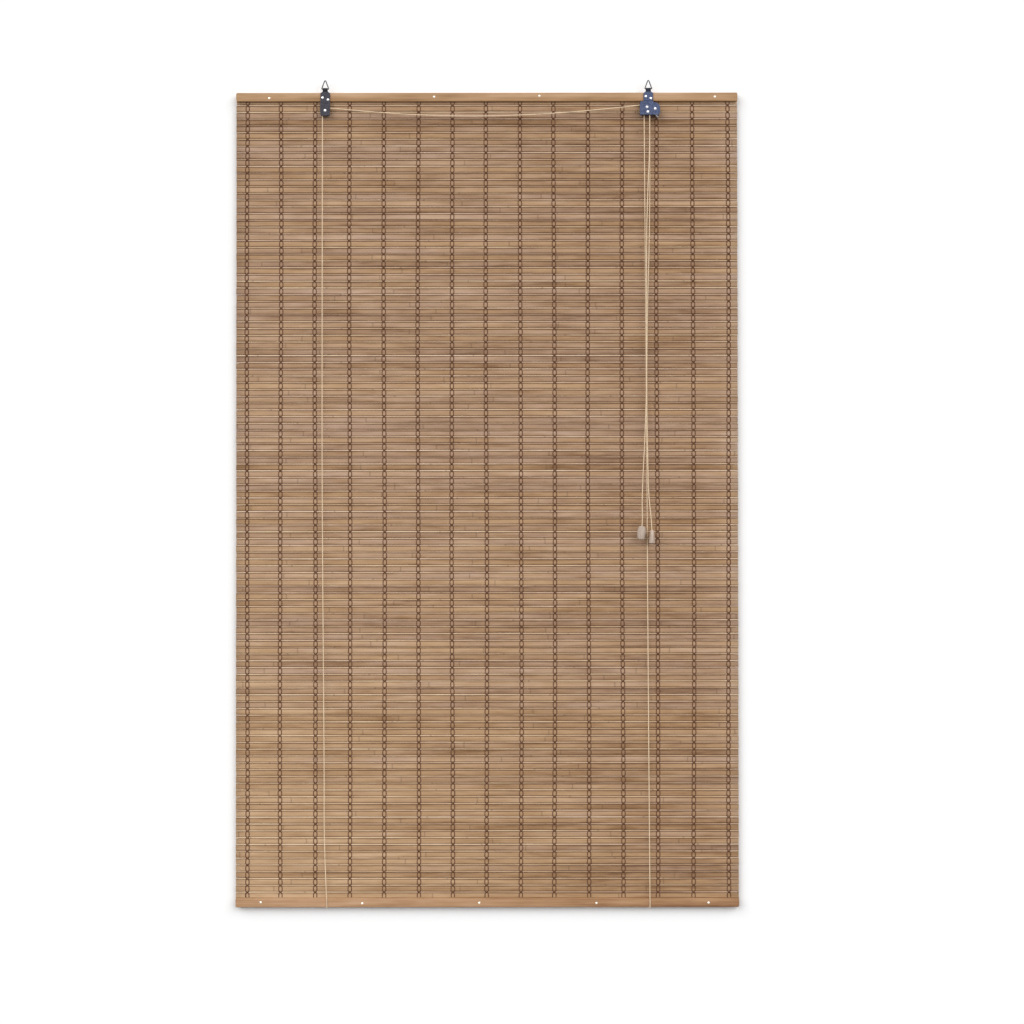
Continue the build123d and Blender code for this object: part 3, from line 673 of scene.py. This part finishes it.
def make_strips(name, rows, section, material, tone, tint):
    """One strip of this section (y, share of height, change of tone from painted shade) across the mat for
    each row.
    """
    sides = len(section)
    depth, up, shade = np.array(section).T
    half = MAT_WIDTH / 2
    points, faces, uv, tones_and_painted_shading, tints_and_painted_warm_light = [], [], [], [], []
    for index, (centre, height) in enumerate(rows):
        ends = half - rng.uniform(0.0, RAGGED_END, 2)
        x = np.linspace(-ends[0], ends[1], STRIP_STATIONS)
        arch = math.pi * x / MAT_WIDTH
        bow = STRIP_BOW * (rng.uniform(-1, 1) * np.cos(arch) + rng.uniform(-1, 1) * x / half)
        sway = SWAY_SHARE * STRIP_BOW * rng.uniform(-1, 1) * np.cos(arch + rng.uniform(-1, 1))
        tilt = rng.uniform(-STRIP_TILT, STRIP_TILT)
        dented = rng.uniform(0, 1, (2, STRIP_STATIONS)) < DENT_CHANCE
        dents = np.where(dented, DENT_DEPTH, 0.0) + rng.normal(0, EDGE_WOBBLE, (2, STRIP_STATIONS))
        z = up * height
        grid = np.empty((STRIP_STATIONS, sides, 3))
        grid[:, :, 0] = x[:, None]
        grid[:, :, 1] = (MAT_FRONT + MAT_BACK) / 2 + (depth + tilt * z)[None, :] + sway[:, None]
        grid[:, :, 2] = centre + z[None, :] + bow[:, None]
        grid[:, up > EDGE_SHARE, 2] -= dents[0][:, None]
        grid[:, up < -EDGE_SHARE, 2] += dents[1][:, None]
        faces += tube_faces(STRIP_STATIONS, sides, first=index * STRIP_STATIONS * sides)
        points.append(grid)
        around = np.where(depth < 0, z, z + BACK_GRAIN) * MM
        shift = rng.uniform(0, STRIP_GRAIN_SHIFT, 2)
        uv.append(grid_uv(x * MM + shift[0], around + shift[1]))
        drop = min(max(centre / RAIL_TOP, 0), 1)
        # Painted shade on the edges and painted light and shade across the mat go into the tone, painted warm
        # light into the tint
        tones_and_painted_shading.append(tone[index] + shade[None, :] + painted_mat_light_and_shade(drop, x / half)[:, None])
        tint_and_painted_warm_light = tint[index] + painted_warm_light(drop, x / half)
        tints_and_painted_warm_light.append(np.broadcast_to(tint_and_painted_warm_light[:, None], (STRIP_STATIONS, sides)))
    attributes = {"tone": np.array(tones_and_painted_shading), "tint": np.array(tints_and_painted_warm_light)}
    piece = make_mesh(name, np.array(points), faces, material, np.array(uv), attributes)
    add_to_mat(piece, "bamboo_mat")


# Each row of the mat has its centre and its height; the last two slats are held inside the rails
HELD_SLAT_PLAY = 0.8
slat_tops = FIRST_SLAT_TOP - PITCH * np.arange(STICK_COUNT + 1)
slat_rows = [(top - SLAT / 2, SLAT) for top in slat_tops]
slat_rows.append(((MAT_TOP + FIRST_SLAT_TOP) / 2, MAT_TOP - FIRST_SLAT_TOP - HELD_SLAT_PLAY))
slat_rows.append(((RAIL_TOP + MAT_FOOT) / 2, RAIL_TOP - MAT_FOOT - HELD_SLAT_PLAY))
stick_rows = [(top - SLAT - GROOVE - STICK / 2, STICK) for top in slat_tops[:STICK_COUNT]]

# Tones: most slats are near one tone, and a few are darker
SLAT_TONE, SLAT_TONE_SPREAD, SLAT_TONE_LIMITS = 0.55, 0.075, (0.3, 0.75)
STICK_TONE, STICK_TONE_SPREAD, STICK_TONE_LIMITS = 0.60, 0.13, (0.32, 0.88)
DARK_SLATS, DARKER_BY = 9, (0.06, 0.15)
slat_tone = np.clip(rng.normal(SLAT_TONE, SLAT_TONE_SPREAD, len(slat_rows)), *SLAT_TONE_LIMITS)
dark_rows = rng.choice(len(slat_rows), DARK_SLATS, replace=False)
slat_tone[dark_rows] -= rng.uniform(*DARKER_BY, DARK_SLATS)
stick_tone = np.clip(rng.normal(STICK_TONE, STICK_TONE_SPREAD, len(stick_rows)), *STICK_TONE_LIMITS)
slat_tint = rng.uniform(0, 1, len(slat_rows))
make_strips("bamboo_slats", slat_rows, SLAT_SECTION, slat_look, slat_tone, slat_tint)
stick_tint = rng.uniform(0, 1, len(stick_rows))
make_strips("bamboo_sticks", stick_rows, STICK_SECTION, stick_look, stick_tone, stick_tint)

# Warp threads: two in each column, which part over every slat and cross on every stick
THREAD_SIDES = 4
THREAD_SHARES = (0.0, 0.10, 0.28, 0.5, 0.72, 0.90)
THREAD_HALF_WIDTH, THREAD_HALF_DEPTH, THREAD_STAND = 1.02, 0.45, 0.32
THREAD_SPREAD, SPREAD_PLAY, PARTING_POWER = 3.5, 0.25, 0.26
CROSSING_RISE, CROSSING_SHARE, CROSSING_LEAN = 0.34, 0.11, 0.18
THREAD_TUCK, THREAD_GRAIN_SHIFT = 0.5, 9
LONG_WANDER, LONG_WAVE = 1.1, 260
SHORT_WANDER, SHORT_WAVE = 0.3, 120
wander = rng.uniform(0, FULL_TURN, (len(THREAD_X), 2))


def thread_place(column, z):
    """The x of a column of threads at the height z."""
    long_turn, short_turn = wander[column]
    long_sway = LONG_WANDER * math.sin(z / LONG_WAVE + long_turn)
    return THREAD_X[column] + long_sway + SHORT_WANDER * math.sin(z / SHORT_WAVE + short_turn)


def thread_track(column, hand, face_y, outward):
    """The points down the mat of one of a column's two threads, which starts on the side that hand gives."""
    track = []
    for cell in range(-1, STICK_COUNT):
        top = stick_rows[0][0] - cell * PITCH
        side = hand * (1 if cell % 2 else -1)
        spread = THREAD_SPREAD + rng.uniform(-SPREAD_PLAY, SPREAD_PLAY)
        for share in THREAD_SHARES:
            z = top - share * PITCH
            parting = side * spread * math.sin(math.pi * share) ** PARTING_POWER
            rise = CROSSING_RISE * math.exp(-((min(share, 1 - share) / CROSSING_SHARE) ** 2))
            lean = CROSSING_LEAN * side if share == 0 else 0
            track.append((
                thread_place(column, z) + parting, face_y + outward * (THREAD_STAND + rise + lean), z,
            ))
    return np.array([p for p in track if RAIL_TOP - THREAD_TUCK <= p[2] <= HEADRAIL_FOOT + THREAD_TUCK])


def make_threads(name, node, face_y, outward):
    turn = (np.arange(THREAD_SIDES) + 0.5) / THREAD_SIDES * FULL_TURN
    depth = np.array([0, 1, 0])
    points, faces, uv = [], [], []
    first = 0
    for column in range(len(THREAD_X)):
        for hand in (-1, 1):
            track = thread_track(column, hand, face_y, outward)
            across = np.cross(directions(track), depth)
            across /= np.linalg.norm(across, axis=1)[:, None]
            ring = (
                THREAD_HALF_WIDTH * np.cos(turn)[None, :, None] * across[:, None, :]
                + THREAD_HALF_DEPTH * np.sin(turn)[None, :, None] * depth[None, None, :]
            )
            points.append((track[:, None, :] + ring).reshape(-1, 3))
            faces += tube_faces(len(track), THREAD_SIDES, first)
            along = np.arange(len(track)) * PITCH / len(THREAD_SHARES) * MM
            along = along + rng.uniform(0, THREAD_GRAIN_SHIFT)
            uv.append(grid_uv(along, turn * MM).reshape(-1, 2))
            first += len(track) * THREAD_SIDES
    piece = make_mesh(name, np.concatenate(points), faces, thread_look, np.concatenate(uv))
    add_to_mat(piece, node)


# Knots: a small tight one on each stick where the two threads of a column cross
KNOT_SIDES, KNOT_STAND, KNOT_HALF_DEPTH, KNOT_PLAY = 6, 0.45, 0.42, 0.15
KNOT_HALF_WIDTHS, KNOT_HALF_HEIGHTS = (0.85, 1.1), (0.9, 1.15)
KNOT_LEVELS = np.array([-1.0, -0.55, 0.55, 1.0])
KNOT_SWELL = np.array([0.35, 1.0, 1.0, 0.35])
KNOT_LIFT = 0.3


def make_knots(name, node, face_y, outward):
    turn = np.arange(KNOT_SIDES) / KNOT_SIDES * FULL_TURN
    swell = KNOT_SWELL[:, None]
    points, faces, uv = [], [], []
    first = 0
    for column in range(len(THREAD_X)):
        for centre, _ in stick_rows:
            wide, tall = rng.uniform(*KNOT_HALF_WIDTHS), rng.uniform(*KNOT_HALF_HEIGHTS)
            middle = thread_place(column, centre) + rng.uniform(-KNOT_PLAY, KNOT_PLAY)
            ring = np.empty((len(KNOT_LEVELS), KNOT_SIDES, 3))
            ring[:, :, 0] = middle + wide * swell * np.cos(turn)[None, :]
            ring[:, :, 1] = face_y + outward * (KNOT_STAND + KNOT_HALF_DEPTH * swell * np.sin(turn)[None, :])
            ring[:, :, 2] = centre + tall * KNOT_LEVELS[:, None]
            points.append(ring.reshape(-1, 3))
            faces += tube_faces(len(KNOT_LEVELS), KNOT_SIDES, first)
            shift = rng.uniform(0, THREAD_GRAIN_SHIFT, 2)
            uv.append(grid_uv(KNOT_LEVELS * MM, turn * MM).reshape(-1, 2) + shift)
            first += len(KNOT_LEVELS) * KNOT_SIDES
    piece = make_mesh(name, np.concatenate(points), faces, thread_look, np.concatenate(uv))
    add_to_mat(piece, node)


make_threads("threads_front", "warp_threads_front", MAT_FRONT, -1)
make_threads("threads_back", "warp_threads_back", MAT_BACK, 1)
make_knots("knots_front", "warp_threads_front", MAT_FRONT - KNOT_LIFT, -1)
make_knots("knots_back", "warp_threads_back", MAT_BACK + KNOT_LIFT, 1)

# Finishes of the rigid pieces
LOOKS = {
    "headrail_front_batten": head_look, "headrail_back_batten": head_look,
    "bottom_rail_front_batten": foot_look, "bottom_rail_back_batten": foot_look,
    "headrail_nails": nail_look, "bottom_rail_nails": nail_look,
    "left_bracket": left_plate_look, "lock_bracket": lock_plate_look,
    "left_bracket_rivets": bright_look, "lock_bracket_rivets": bright_look,
    "left_axle": bright_look, "lock_sheave_axle": bright_look, "lock_post_axle": bright_look,
    "lock_cam_axle": bright_look, "left_ring": wire_look, "right_ring": wire_look,
    "left_sheave": plastic_look, "lock_front_sheave": plastic_look, "lock_rear_sheave": plastic_look,
    "lock_post": lock_look, "lock_cam": lock_look,
    "left_tassel": left_tassel_look, "right_tassel": right_tassel_look,
    "left_tassel_knot": cord_look, "right_tassel_knot": cord_look,
}
for node_name, look in LOOKS.items():
    data = nodes[node_name].data
    data.materials.clear()
    data.materials.append(look)
